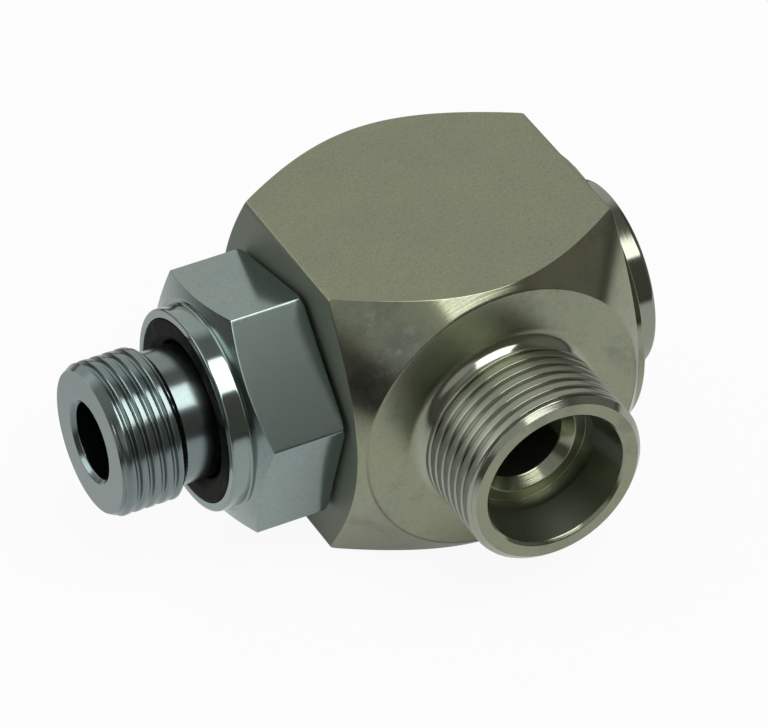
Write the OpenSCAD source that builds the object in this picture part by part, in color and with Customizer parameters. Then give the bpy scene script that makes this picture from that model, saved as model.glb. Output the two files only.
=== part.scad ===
// Ninety degree swivel fitting for a hydraulic line: a housing turned from square bar
// with a threaded tube port, and a spindle with a hexagon and a threaded stud that
// turns in it on two rows of balls.
// X is the swivel axis, with the stud towards -X. The port points towards -Y. Z is up.
// The origin lies on the bottom face, under the point where the two axes cross.
// Outside threads are plain cylinders of the thread's outer diameter.

/* [Housing] */
// Width across the flats of the square bar
bar_af = 36; // [36:0.5:42]
// Break on the long edges of the bar, measured along the diagonal
edge_break = 0.25; // [0.1:0.05:0.8]
// From the swivel axis to the front cone, along the bar's sharp edge
front_edge = 9.75; // [8:0.25:12]
// From the swivel axis to the back cone, along the bar's sharp edge
back_edge = 10.2; // [8:0.2:13]
// Rise of the front cone along the port axis, per mm of radius
front_slope = 0.96; // [0.8:0.02:1.1]
// Rise of the back cone along the port axis, per mm of radius
back_slope = 0.88; // [0.8:0.02:1.1]
// Diameter where the front and back cones end
shoulder_d = 34.4; // [32:0.4:35.6]
// Dish of the front face between the cone and the neck of the port
shoulder_rise = 0.4; // [0.1:0.1:0.8]
// Diameter of the round boss behind the rear bearing
boss_d = 33.2; // [32.6:0.2:34]
// Height of the boss over the flat
boss_h = 1.0; // [0.6:0.1:2]
// Bevel on the rim of the boss
boss_bevel = 0.25; // [0.1:0.05:0.5]

/* [Port] */
// Outer diameter of the port thread
port_d = 22; // [20:0.5:24]
// From the swivel axis to the end of the port
port_reach = 30.3; // [29:0.5:36]
// Length of the port thread with its end bevel
port_thread = 10.4; // [9:0.2:11]
// Bevel on the end of the port thread
port_bevel = 0.75; // [0.4:0.05:1.2]
// Diameter of the plain neck behind the port thread
neck_d = 20.6; // [19:0.1:21]
// Fillet where the neck meets the front face
neck_fillet = 2.0; // [1:0.1:2.4]
// Outer diameter of the tube that the port takes
tube_d = 15; // [13:0.5:15.5]
// Diameter of the wide end of the sealing cone
mouth_d = 17; // [16.5:0.1:17.6]
// Half angle of the sealing cone
cone_angle = 12; // [10:0.5:14]
// Bevel on the inner edge of the port
mouth_bevel = 0.35; // [0.1:0.05:0.6]
// From the end of the port to the seat of the tube
tube_depth = 7; // [6.4:0.2:8]
// Diameter of the countersink under the tube's seat
seat_d = 12.4; // [11:0.2:12.8]
// Diameter of the passage from the tube to the spindle
passage_d = 10; // [8:0.2:10.4]

/* [Stud] */
// Outer diameter of the stud thread
stud_d = 18; // [16.5:0.25:20]
// From the sealing face to the end of the stud
stud_reach = 12; // [11:0.5:16]
// Bevel on the end of the stud thread, measured along the radius
stud_bevel = 0.6; // [0.3:0.05:1]
// Diameter of the smooth neck between collar and thread
stud_neck_d = 15.7; // [14.8:0.1:16]
// From the sealing face to the run-out of the thread
stud_neck = 3.6; // [3:0.1:4.4]
// Bore through the stud
stud_bore_d = 9; // [7:0.25:10]
// Bevel on the mouth of the stud bore
bore_bevel = 0.5; // [0.2:0.05:0.8]
// Diameter of the sealing collar
collar_d = 23.9; // [23.4:0.1:25]
// Length of the sealing collar
collar_len = 2.4; // [2.2:0.1:4]
// Rounding bevel on the rim of the collar
collar_bevel = 0.2; // [0.1:0.05:0.3]
// Rim of the collar outside the recess for the stud's sealing ring
seal_rim = 1.05; // [0.8:0.05:1.5]
// Depth of that recess
seal_recess = 1.7; // [1.2:0.1:2]

/* [Hexagon] */
// Width across the flats of the hexagon
hex_af = 27; // [27:0.5:32]
// Length of the hexagon from its back face to the collar
hex_len = 10; // [8.5:0.25:12.5]
// Diameter of the turned face on the collar side of the hexagon
hex_face_d = 25; // [24.6:0.1:26]
// Bevel on the hexagon's corners at the back face
hex_back_bevel = 0.4; // [0.1:0.05:0.6]
// Slope of the turned cone on the hexagon's corners
hex_slope = 0.364; // [0.3:0.02:0.58]
// Air gap between the hexagon and the housing
hex_gap = 0.55; // [0.4:0.05:1.5]
// Turn of the hexagon about the swivel axis as it is stored
hex_turn = 17.4; // [0:0.2:60]

/* [Spindle] */
// Diameter of the journal that runs in the housing
journal_d = 14.4; // [14:0.1:14.6]
// Radial running gap between journal and housing
journal_gap = 0.08; // [0.03:0.01:0.1]
// Width of the ring channel that feeds the cross holes
channel_w = 8; // [7:0.2:10]
// Depth of the ring channel
channel_depth = 1.2; // [0.8:0.1:1.6]
// Diameter of the cross holes in the channel
cross_d = 5; // [4:0.25:6]
// How many cross holes there are
cross_count = 4; // [3:1:5]
// Diameter of the spindle's tail that carries the end ring
tail_d = 13; // [11.5:0.25:13.5]
// Bevel on the end of the tail
tail_bevel = 0.5; // [0.2:0.05:0.8]
// How far the tail stands past the retaining clip
tail_past = 0.7; // [0.5:0.05:1.5]
// Depth of the centre hole in the end of the tail
centre_depth = 2.4; // [1:0.1:3]
// Diameter of the hub behind the hexagon
hub_d = 20.6; // [18:0.2:21.2]

/* [Bearings] */
// Diameter of a bearing ball
ball_d = 3; // [2.6:0.1:3]
// Balls in each row
ball_count = 19; // [12:1:19]
// Diameter of the circle through the ball centres
pitch_d = 19.2; // [19:0.1:20]
// From the flat of the housing to the ball centres
row_inset = 3.6; // [3.5:0.1:4.4]
// Gap between a ball and its track
track_gap = 0.04; // [0.02:0.01:0.08]
// Land of each race beside the deepest point of its track
race_land = 0.1; // [0.05:0.05:0.2]
// From the ball centres to the open side of each race
race_lip = 0.3; // [0.2:0.05:0.4]
// Wall of the outer race outside the balls
cup_wall = 1.2; // [1:0.1:2]
// Floor of the outer race behind the balls
cup_floor = 0.9; // [0.7:0.05:1.3]
// How far the wall of the outer race reaches past the ball centres
cup_cover = 1.35; // [1.2:0.05:1.5]
// From the circle of the ball centres to the hole in the floor of the outer race
cup_hole_inset = 1.0; // [0.8:0.05:1.1]
// From the back of the outer race to the nose of the front inner race
cone_nose = 0.4; // [0.2:0.05:0.6]
// Bevel on the rim of the front inner race
cone_bevel = 0.2; // [0.1:0.05:0.3]
// Outer diameter of the inner races
cone_d = 21.4; // [21:0.1:21.8]
// Flange of the inner races beside the balls, where the dust lips run
cone_flange = 1.95; // [1.7:0.05:2.05]
// From the back of the rear outer race to the step that the shim lies on
shim_step = 0.2; // [0.1:0.05:0.4]
// Thickness of the shim that sets the play of the bearings
shim_t = 0.5; // [0.3:0.1:0.8]

/* [End ring] */
// Diameter of the end ring outside the housing
ring_d = 22.6; // [21:0.2:24]
// How far the end ring stands out from the boss
ring_out = 4.5; // [4:0.1:7]
// Air gap between the end ring's collar and the boss
ring_gap = 0.35; // [0.2:0.05:0.8]
// Wall of the end ring around the retaining clip
ring_wall = 1.5; // [1:0.1:1.8]
// From the clip to the rim of the end ring
clip_recess = 1.2; // [0.8:0.1:2]
// Bevel on the rim of the end ring
ring_bevel = 0.4; // [0.2:0.05:0.8]
// Thickness of the retaining clip
clip_t = 1.0; // [0.8:0.1:1.4]
// Play of the clip in its groove
clip_play = 0.1; // [0.05:0.05:0.2]
// Depth of the clip's groove
clip_groove = 0.4; // [0.3:0.05:0.6]
// Width of the clip across its back
clip_w = 2.2; // [1.8:0.1:2.6]
// How much narrower the clip gets towards its ends
clip_taper = 0.35; // [0.2:0.05:0.5]
// Half of the angle that the clip leaves open
clip_open = 9; // [6:1:12]
// Angle from the middle of the opening to each eye of the clip
eye_turn = 16; // [15:1:20]
// How far the eyes reach into the groove
eye_sunk = 0.2; // [0.1:0.05:0.3]
// Diameter of the holes in the eyes
eye_hole_d = 0.9; // [0.7:0.05:1.1]

/* [Seals] */
// Width of the pressure seals' grooves
groove_w = 2.6; // [2.4:0.1:3]
// Depth of those grooves from the bore
groove_depth = 2.7; // [2.4:0.1:3]
// Wall between the groove and the outer race
groove_web = 1.4; // [1:0.1:2]
// Thickness of the sliding ring
glide_t = 0.95; // [0.7:0.05:1.1]
// Gap between the sliding ring and the journal
glide_gap = 0.03; // [0.02:0.01:0.06]
// Side play of the sliding ring in its groove
glide_play = 0.3; // [0.2:0.05:0.5]
// Bevel on the inner edges of the sliding ring
glide_bevel = 0.2; // [0.1:0.05:0.3]
// Squeeze of the energiser rings, as a share of their free section
squeeze = 0.2; // [0.1:0.05:0.3]
// Length of the dust lips
wiper_len = 1.95; // [1.7:0.05:2]
// Gap between a dust lip and the race that it runs on
wiper_gap = 0.03; // [0.02:0.01:0.06]
// Height of the heel that holds a dust lip against the outer race
wiper_heel = 0.8; // [0.6:0.05:1]
// Thickness of a dust lip at its tip
wiper_t = 0.4; // [0.3:0.05:0.5]
// Gap between the stud's sealing ring and the neck of the stud
seal_gap = 0.25; // [0.1:0.05:0.4]
// How far the stud's sealing ring stands out of the collar
seal_proud = 0.05; // [0.05:0.05:0.2]
// Bevel on the outer edge of the stud's sealing ring
seal_bevel = 0.3; // [0.1:0.05:0.5]
// Width of the sloped inner edge of the stud's sealing ring
seal_slope_w = 0.9; // [0.6:0.05:1.2]
// Depth of that slope
seal_slope_h = 0.6; // [0.3:0.05:0.9]

/* [Hidden] */

// Half angles of a drill point, of a centre hole and of a thread's end bevel
drill_angle = 59;
centre_angle = 30;
bevel_angle = 30;
// More than any cut needs, so that it runs clear of the faces
past = 1;
// Sides of the circles in the preview: turned forms, cross holes, balls and eyes
round_sides = 96;
hole_sides = 48;
ball_sides = 32;

// Housing
half = bar_af / 2;
corner_r = bar_af * sqrt(2) / 2;
turned_r = corner_r - edge_break;
shoulder_r = shoulder_d / 2;
boss_face = half + boss_h;
neck_r = neck_d / 2;
port_r = port_d / 2;
thread_start = port_reach - port_thread;
face_y = front_edge + front_slope * (corner_r - shoulder_r) + shoulder_rise;
back_y = back_edge + back_slope * (corner_r - shoulder_r);
mouth_r = mouth_d / 2;
tube_r = tube_d / 2;
cone_end = port_reach - mouth_bevel - (mouth_r - tube_r) / tan(cone_angle);
seat_y = port_reach - tube_depth;
seat_r = seat_d / 2;
passage_r = passage_d / 2;

// Bearings: distances are from the port axis along the swivel axis
ball_r = ball_d / 2;
pitch_r = pitch_d / 2;
track_r = ball_r + track_gap;
row_x = half - row_inset;
cup_back = row_x - track_r - cup_floor;
cup_bore_r = pitch_r + track_r + track_gap;
cup_r = cup_bore_r + cup_wall;
cup_front = row_x + cup_cover;
nose_r = pitch_r - track_r - track_gap;
cup_hole_r = pitch_r - cup_hole_inset;
cone_r = cone_d / 2;
cone_face = row_x + track_r - race_land;
cone_back = cone_face + cone_flange;
journal_r = journal_d / 2;
bore_r = journal_r + journal_gap;
// The passage is cut from inside the spindle's bore
passage_start = bore_r / 2;
tail_r = tail_d / 2;

// Seals
groove_x = cup_back - groove_web - groove_w / 2;
groove_r = bore_r + groove_depth;
glide_in = journal_r + glide_gap;
glide_out = glide_in + glide_t;
energiser_h = groove_r - glide_out;
energiser_r = energiser_h / 2 * (1 + squeeze);
lip_tip_r = cone_r + wiper_gap;

// Spindle: the shim lies on the step between journal and tail
journal_end = cup_back + shim_step;
ring_nose = journal_end + shim_t;
hub_face = half + hex_gap;
hub_end = cone_back;
hex_front = hub_face + hex_len;
hex_corner_r = hex_af / sqrt(3);
sealing_face = hex_front + collar_len;
stud_end = sealing_face + stud_reach;
stud_r = stud_d / 2;
collar_r = collar_d / 2;
seal_recess_r = collar_r - seal_rim;
stud_neck_r = stud_neck_d / 2;
stud_bore_r = stud_bore_d / 2;
channel_r = journal_r - channel_depth;
cross_r = cross_d / 2;
bore_end = cross_r;
point_len = stud_bore_r / tan(drill_angle);

// End ring
ring_r = ring_d / 2;
ring_end = boss_face + ring_out;
ring_back = boss_face + ring_gap;
clip_seat = ring_end - clip_t - clip_recess;
clip_slot = clip_t + clip_play;
clip_r = tail_r - clip_groove;
clip_room_r = ring_r - ring_wall;
tail_end = clip_seat + clip_slot + tail_past;

steel_grey = [0.66, 0.66, 0.58];
zinc_blue = [0.72, 0.75, 0.77];
race_grey = [0.55, 0.56, 0.58];
ball_chrome = [0.85, 0.86, 0.88];
seal_black = [0.12, 0.11, 0.10];
glide_brown = [0.42, 0.30, 0.20];
spring_steel = [0.30, 0.31, 0.33];

// Turns [along, radius] points about the swivel axis; +along is +X
module turn_x() {
    translate([0, 0, half]) rotate([0, 90, 0]) rotate_extrude($fn = round_sides) children();
}

// The same, mirrored to the stud's side
module turn_stud_side() {
    mirror([1, 0, 0]) turn_x() children();
}

// Turns a profile about the port axis; +along is -Y, towards the port
module turn_port() {
    translate([0, 0, half]) rotate([90, 0, 0]) rotate_extrude($fn = round_sides) children();
}

module outline(points) {
    polygon([for (p = points) [p[1], p[0]]]);
}

// Circle at a place along the axis and a radius from it
module dot(along, radius, r) {
    translate([radius, along]) circle(r, $fn = round_sides);
}

module port_outside() {
    turn_port() {
        outline([
            [-back_y, 0], [-back_y, shoulder_r],
            [-back_edge - back_slope * edge_break, turned_r],
            [front_edge + front_slope * edge_break, turned_r],
            [face_y - shoulder_rise, shoulder_r],
            [face_y, neck_r + neck_fillet], [face_y, neck_r],
            [thread_start - (port_r - neck_r), neck_r], [thread_start, port_r],
            [port_reach - port_bevel, port_r], [port_reach, port_r - port_bevel],
            [port_reach, 0]
        ]);
        difference() {
            translate([neck_r, face_y]) square(neck_fillet);
            dot(face_y + neck_fillet, neck_r + neck_fillet, neck_fillet);
        }
    }
}

module port_inside() {
    turn_port() outline([
        [passage_start, 0], [passage_start, passage_r],
        [seat_y - (seat_r - passage_r), passage_r], [seat_y, seat_r], [seat_y, tube_r],
        [cone_end, tube_r], [port_reach - mouth_bevel, mouth_r],
        [port_reach + past, mouth_r + mouth_bevel + past], [port_reach + past, 0]
    ]);
}

// Bore, seal groove and race seat on one side of the port axis
module bearing_bore(length) {
    outline([
        [-past, 0], [-past, bore_r], [groove_x - groove_w / 2, bore_r],
        [groove_x - groove_w / 2, groove_r], [groove_x + groove_w / 2, groove_r],
        [groove_x + groove_w / 2, bore_r], [cup_back, bore_r], [cup_back, cup_r],
        [length + past, cup_r], [length + past, 0]
    ]);
}

module housing() {
    color(steel_grey) difference() {
        union() {
            intersection() {
                translate([-half, -port_reach - past, 0])
                    cube([bar_af, port_reach + back_y + 2 * past, bar_af]);
                port_outside();
            }
            turn_x() outline([
                [half - boss_h, 0], [half - boss_h, boss_d / 2],
                [boss_face - boss_bevel, boss_d / 2],
                [boss_face, boss_d / 2 - boss_bevel], [boss_face, 0]
            ]);
        }
        port_inside();
        turn_x() bearing_bore(boss_face);
        turn_stud_side() bearing_bore(half);
    }
}

module hexagon() {
    intersection() {
        translate([-hex_front, 0, half]) rotate([hex_turn, 0, 0]) rotate([0, 90, 0])
            cylinder(r = hex_corner_r, h = hex_len, $fn = 6);
        turn_stud_side() outline([
            [hub_face, 0], [hub_face, hex_corner_r - hex_back_bevel],
            [hub_face + hex_back_bevel + past, hex_corner_r + past],
            [hex_front - hex_slope * (hex_corner_r + past - hex_face_d / 2), hex_corner_r + past],
            [hex_front, hex_face_d / 2], [hex_front, 0]
        ]);
    }
}

module spindle_blank() {
    turn_stud_side() outline([
        [-tail_end, 0], [-tail_end, tail_r - tail_bevel], [-tail_end + tail_bevel, tail_r],
        [-clip_seat - clip_slot, tail_r], [-clip_seat - clip_slot, clip_r],
        [-clip_seat, clip_r], [-clip_seat, tail_r], [-journal_end, tail_r],
        [-journal_end, journal_r],
        [-channel_w / 2, journal_r], [-channel_w / 2 + channel_depth / 2, channel_r],
        [channel_w / 2 - channel_depth / 2, channel_r], [channel_w / 2, journal_r],
        [hub_end, journal_r], [hub_end, hub_d / 2], [hub_face + past, hub_d / 2],
        [hub_face + past, collar_r], [sealing_face - collar_bevel, collar_r],
        [sealing_face, collar_r - collar_bevel], [sealing_face, seal_recess_r],
        [sealing_face - seal_recess, seal_recess_r],
        [sealing_face - seal_recess, stud_neck_r], [sealing_face + stud_neck, stud_neck_r],
        [sealing_face + stud_neck + stud_r - stud_neck_r, stud_r],
        [stud_end - stud_bevel / tan(bevel_angle), stud_r], [stud_end, stud_r - stud_bevel],
        [stud_end, 0]
    ]);
}

module spindle() {
    color(zinc_blue) difference() {
        union() {
            spindle_blank();
            hexagon();
        }
        turn_stud_side() outline([
            [-bore_end - point_len, 0], [-bore_end, stud_bore_r],
            [stud_end - bore_bevel, stud_bore_r],
            [stud_end + past, stud_bore_r + bore_bevel + past], [stud_end + past, 0]
        ]);
        for (i = [0 : cross_count - 1])
            translate([0, 0, half]) rotate([hex_turn + i * 360 / cross_count, 0, 0])
                cylinder(r = cross_r, h = journal_r + past, $fn = hole_sides);
        turn_x() outline([
            [tail_end - centre_depth, 0],
            [tail_end + past, (centre_depth + past) * tan(centre_angle)], [tail_end + past, 0]
        ]);
    }
}

module stud_seal_ring() {
    inner = stud_neck_r + seal_gap;
    base = sealing_face - seal_recess;
    top = sealing_face + seal_proud;
    color(seal_black) turn_stud_side() outline([
        [base, inner], [base, seal_recess_r], [top - seal_bevel, seal_recess_r],
        [top, seal_recess_r - seal_bevel], [top, inner + seal_slope_w],
        [top - seal_slope_h, inner]
    ]);
}

// Inner race on the stud's side, pressed against the hub
module front_inner_race() {
    color(race_grey) turn_stud_side() difference() {
        outline([
            [cup_back + cone_nose, journal_r], [cup_back + cone_nose, nose_r],
            [row_x - race_lip, nose_r], [row_x - race_lip, pitch_r],
            [cone_face, pitch_r], [cone_face, cone_r], [cone_back - cone_bevel, cone_r],
            [cone_back, cone_r - cone_bevel], [cone_back, journal_r]
        ]);
        dot(row_x, pitch_r, track_r);
    }
}

// End ring: the rear inner race and the visible collar in one piece
module end_ring() {
    color(zinc_blue) turn_x() difference() {
        outline([
            [ring_nose, tail_r], [ring_nose, nose_r], [row_x - race_lip, nose_r],
            [row_x - race_lip, pitch_r], [cone_face, pitch_r], [cone_face, cone_r],
            [ring_back, cone_r], [ring_back, ring_r],
            [ring_end - ring_bevel, ring_r], [ring_end, ring_r - ring_bevel],
            [ring_end, clip_room_r], [clip_seat, clip_room_r], [clip_seat, tail_r]
        ]);
        dot(row_x, pitch_r, track_r);
    }
}

module outer_race() {
    difference() {
        outline([
            [cup_back, cup_hole_r], [cup_back, cup_r], [cup_front, cup_r],
            [cup_front, cup_bore_r], [row_x + race_lip, cup_bore_r],
            [row_x + race_lip, pitch_r], [row_x - track_r + race_land, pitch_r],
            [row_x - track_r + race_land, cup_hole_r]
        ]);
        dot(row_x, pitch_r, track_r);
    }
}

module front_outer_race() {
    color(race_grey) turn_stud_side() outer_race();
}

module rear_outer_race() {
    color(race_grey) turn_x() outer_race();
}

module ball_row(x) {
    for (i = [0 : ball_count - 1])
        translate([x, 0, half]) rotate([i * 360 / ball_count, 0, 0])
            translate([0, 0, pitch_r]) sphere(ball_r, $fn = ball_sides);
}

module front_balls() {
    color(ball_chrome) ball_row(-row_x);
}

module rear_balls() {
    color(ball_chrome) ball_row(row_x);
}

module preload_shim() {
    color(race_grey) turn_x() outline([
        [journal_end, tail_r], [journal_end, journal_r], [ring_nose, journal_r],
        [ring_nose, tail_r]
    ]);
}

module glide_ring() {
    w = (groove_w - glide_play) / 2;
    outline([
        [groove_x - w, glide_in + glide_bevel], [groove_x - w, glide_out],
        [groove_x + w, glide_out], [groove_x + w, glide_in + glide_bevel],
        [groove_x + w - glide_bevel, glide_in], [groove_x - w + glide_bevel, glide_in]
    ]);
}

// Squeezed round ring between the sliding ring and the bottom of its groove
module energiser_ring() {
    intersection() {
        dot(groove_x, glide_out + energiser_h / 2, energiser_r);
        translate([glide_out, groove_x - groove_w / 2]) square([energiser_h, groove_w]);
    }
}

module front_glide_ring() {
    color(glide_brown) turn_stud_side() glide_ring();
}

module rear_glide_ring() {
    color(glide_brown) turn_x() glide_ring();
}

module front_energiser_ring() {
    color(seal_black) turn_stud_side() energiser_ring();
}

module rear_energiser_ring() {
    color(seal_black) turn_x() energiser_ring();
}

// Dust lip: a heel against the outer race and a lip that leans outwards
module dust_lip() {
    back = cup_front + wiper_len;
    heel_r = cup_r - wiper_heel;
    outline([
        [cup_front, cup_r], [back - wiper_t, cup_r], [back - wiper_t, heel_r],
        [back, lip_tip_r], [back - wiper_t, lip_tip_r],
        [cup_front + wiper_heel, heel_r], [cup_front, heel_r]
    ]);
}

module front_dust_lip() {
    color(seal_black) turn_stud_side() dust_lip();
}

module rear_dust_lip() {
    color(seal_black) turn_x() dust_lip();
}

// Open spring ring with two eyes, thicker at its back than at its ends
module retaining_clip() {
    eye_r = clip_w / 2;
    eye_at = clip_r + eye_r - eye_sunk;
    reach = 2 * tail_r;
    open_w = reach * tan(clip_open);
    color(spring_steel) translate([clip_seat, 0, half]) rotate([0, 90, 0])
        linear_extrude(clip_t) difference() {
            union() {
                translate([-clip_taper, 0])
                    circle(clip_r + clip_w - 2 * clip_taper, $fn = round_sides);
                for (side = [-1, 1]) rotate(side * eye_turn) translate([eye_at, 0])
                    circle(eye_r, $fn = ball_sides);
            }
            circle(clip_r, $fn = round_sides);
            polygon([[0, 0], [reach, -open_w], [reach, open_w]]);
            for (side = [-1, 1]) rotate(side * eye_turn) translate([eye_at, 0])
                circle(d = eye_hole_d, $fn = ball_sides);
        }
}

housing();
spindle();
stud_seal_ring();
end_ring();
retaining_clip();
preload_shim();
front_inner_race();
front_outer_race();
rear_outer_race();
front_balls();
rear_balls();
front_glide_ring();
front_energiser_ring();
rear_glide_ring();
rear_energiser_ring();
front_dust_lip();
rear_dust_lip();
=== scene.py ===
"""Looks of the swivel fitting: turned and threaded surfaces, platings, light and camera.

The sizes of the shapes are in millimetres, which become metres in Shell.build and in
Number.step_mm. Patterns of the finishes, the floor, the lamp and the camera are in metres.
X is the swivel axis with the stud towards -X, the port points towards -Y, Z is up.
Places along the two axes are counted from the point where they cross.
"""

import math

import bmesh
import bpy
import numpy as np
from mathutils import Matrix, Quaternion, Vector


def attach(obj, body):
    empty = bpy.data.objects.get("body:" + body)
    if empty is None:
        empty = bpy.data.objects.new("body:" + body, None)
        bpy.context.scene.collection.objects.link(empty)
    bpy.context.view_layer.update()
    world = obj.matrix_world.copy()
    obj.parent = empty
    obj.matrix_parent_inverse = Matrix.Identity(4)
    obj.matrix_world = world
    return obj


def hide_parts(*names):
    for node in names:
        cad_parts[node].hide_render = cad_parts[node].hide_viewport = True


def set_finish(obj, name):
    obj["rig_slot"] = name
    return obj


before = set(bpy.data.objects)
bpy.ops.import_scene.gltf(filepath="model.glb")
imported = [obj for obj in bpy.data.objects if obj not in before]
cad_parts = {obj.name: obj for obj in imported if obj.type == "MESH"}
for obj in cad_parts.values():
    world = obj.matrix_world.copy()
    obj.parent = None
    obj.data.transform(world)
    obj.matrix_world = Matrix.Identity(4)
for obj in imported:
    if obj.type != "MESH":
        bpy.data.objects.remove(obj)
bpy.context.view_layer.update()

MM = 0.001

# Sizes of the square bar, its two turned cones and the boss
HALF = 18.0
AXIS_HEIGHT = HALF
CORNER_R = HALF * math.sqrt(2)
FRONT_EDGE, FRONT_SLOPE = 9.75, 0.96
BACK_EDGE, BACK_SLOPE = 10.2, 0.88
SHOULDER_R = 17.2
SHOULDER_FRONT = FRONT_EDGE + FRONT_SLOPE * (CORNER_R - SHOULDER_R)
SHOULDER_BACK = BACK_EDGE + BACK_SLOPE * (CORNER_R - SHOULDER_R)
DISH = SHOULDER_FRONT + 0.4
BOSS_R, BOSS_FACE = 16.6, HALF + 1.0

# Sizes of the port
PITCH = 1.5
NECK_R, FILLET = 10.3, 2.0
PORT_R, PORT_END, PORT_BEVEL = 11.0, 30.3, 0.75
PORT_THREAD_FROM, RUN_OUT_R = 19.34, NECK_R + 0.14
MOUTH_R, MOUTH_BEVEL, CONE_ANGLE = 8.5, 0.35, 12.0
TUBE_R, TUBE_SEAT, TUBE_SEAT_R = 7.5, PORT_END - 7.0, 6.2
PASSAGE_R, PASSAGE_FROM = 5.0, 12.0

# Sizes of the ball rows, the journal and the seal grooves
BALL_R, TRACK_GAP, RACE_LIP, RACE_LAND = 1.5, 0.04, 0.3, 0.1
BALL_ROW, BALL_CIRCLE_R, TRACK_R = HALF - 3.6, 9.6, BALL_R + TRACK_GAP
RACE_FLOOR, RACE_WALL = 0.9, 1.2
RACE_BACK = BALL_ROW - TRACK_R - RACE_FLOOR
RACE_R = BALL_CIRCLE_R + TRACK_R + TRACK_GAP + RACE_WALL
JOURNAL_R, CHANNEL_R, CHANNEL_HALF = 7.2, 6.0, 4.0
CHANNEL_FLOOR = CHANNEL_HALF - 0.7
JOURNAL_END = RACE_BACK + 0.2
BORE_R, BORE_END = JOURNAL_R + 0.08, 6.6
GROOVE_OUT = RACE_BACK - 1.4
GROOVE_IN, GROOVE_R = GROOVE_OUT - 2.6, BORE_R + 2.7

# Sizes of the hexagon, the collar and the stud
HEX_TURN = 17.4
HEX_HALF = 13.5
HUB_AT, HUB_R = 17.785, 10.3
HEX_BACK = HALF + 0.55
HEX_FRONT = HEX_BACK + 10.0
HEX_SLOPE, HEX_FACE_R, HEX_BACK_R = 0.364, 12.5, 12.0
HEX_BEVEL_R = 2 * HEX_HALF / math.sqrt(3) - 0.4
COLLAR_R, SEALING_FACE = 11.95, HEX_FRONT + 2.4
RECESS_R, RECESS_AT = COLLAR_R - 1.05, SEALING_FACE - 1.7
STUD_NECK_R, STUD_THREAD_FROM = 7.85, SEALING_FACE + 3.6
STUD_R, STUD_END = 9.0, SEALING_FACE + 12.0
STUD_BEVEL, BEVEL_ANGLE, STUD_FACE_R = 0.6, 30.0, 7.6
STUD_BORE_R, BORE_BEVEL, DRILL_POINT = 4.5, 0.5, 2.7
CROSS_R, CROSS_COUNT = 2.5, 4

# Sizes of the tail and the end ring
RING_R, RING_BACK, RING_END = 11.3, BOSS_FACE + 0.35, BOSS_FACE + 4.5
RING_NOSE, RING_NECK_R = JOURNAL_END + 0.5, 10.7
CLIP_SEAT, CLIP_ROOM_R = RING_END - 2.2, RING_R - 1.5
CLIP_SLOT, CLIP_GROOVE_R = CLIP_SEAT + 1.1, 6.1
TAIL_R, TAIL_BEVEL, TAIL_END = 6.5, 0.5, CLIP_SLOT + 0.7
CENTRE_DEPTH, CENTRE_ANGLE = 2.4, 30.0


# Shape tools


def turn(angle):
    """Cosine and sine of angles in degrees."""
    return np.cos(np.radians(angle)), np.sin(np.radians(angle))


def about_port(along, radius, angle):
    """Point at a radius from the port axis; along is towards -Y, angle from +X to +Z."""
    c, s = turn(angle)
    return np.stack(np.broadcast_arrays(radius * c, -along, AXIS_HEIGHT + radius * s), -1)


def about_swivel(along, radius, angle, way=-1.0):
    """Point at a radius from the swivel axis; along times way is X, angle from +Z to -Y."""
    c, s = turn(angle)
    return np.stack(
        np.broadcast_arrays(way * along, -radius * s, AXIS_HEIGHT + radius * c), -1
    )


def rounded(corners, arc_cells=4, hold=0.12):
    """Profile through corners (along, radius, rounding).

    A corner with a rounding becomes the parabola between the two points that far from it,
    with one more point a little outside each end, so that the faces beside it stay flat.
    """
    points = [corners[0][:2]]
    for before, here, after in zip(corners, corners[1:], corners[2:]):
        p = np.array(here[:2], float)
        if here[2] == 0:
            points.append(p)
            continue
        arms = [np.array(q[:2], float) - p for q in (before, after)]
        lengths = [np.hypot(*a) for a in arms]
        units = [a / l for a, l in zip(arms, lengths)]
        cut = min(here[2], 0.45 * lengths[0], 0.45 * lengths[1])
        out = [min(cut + hold, 0.5 * l) for l in lengths]
        points.append(p + units[0] * out[0])
        for t in np.linspace(0, 1, arc_cells + 1):
            points.append(p + units[0] * cut * (1 - t) ** 2 + units[1] * cut * t**2)
        points.append(p + units[1] * out[1])
    points.append(corners[-1][:2])
    return np.array([tuple(q) for q in points], float)


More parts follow.
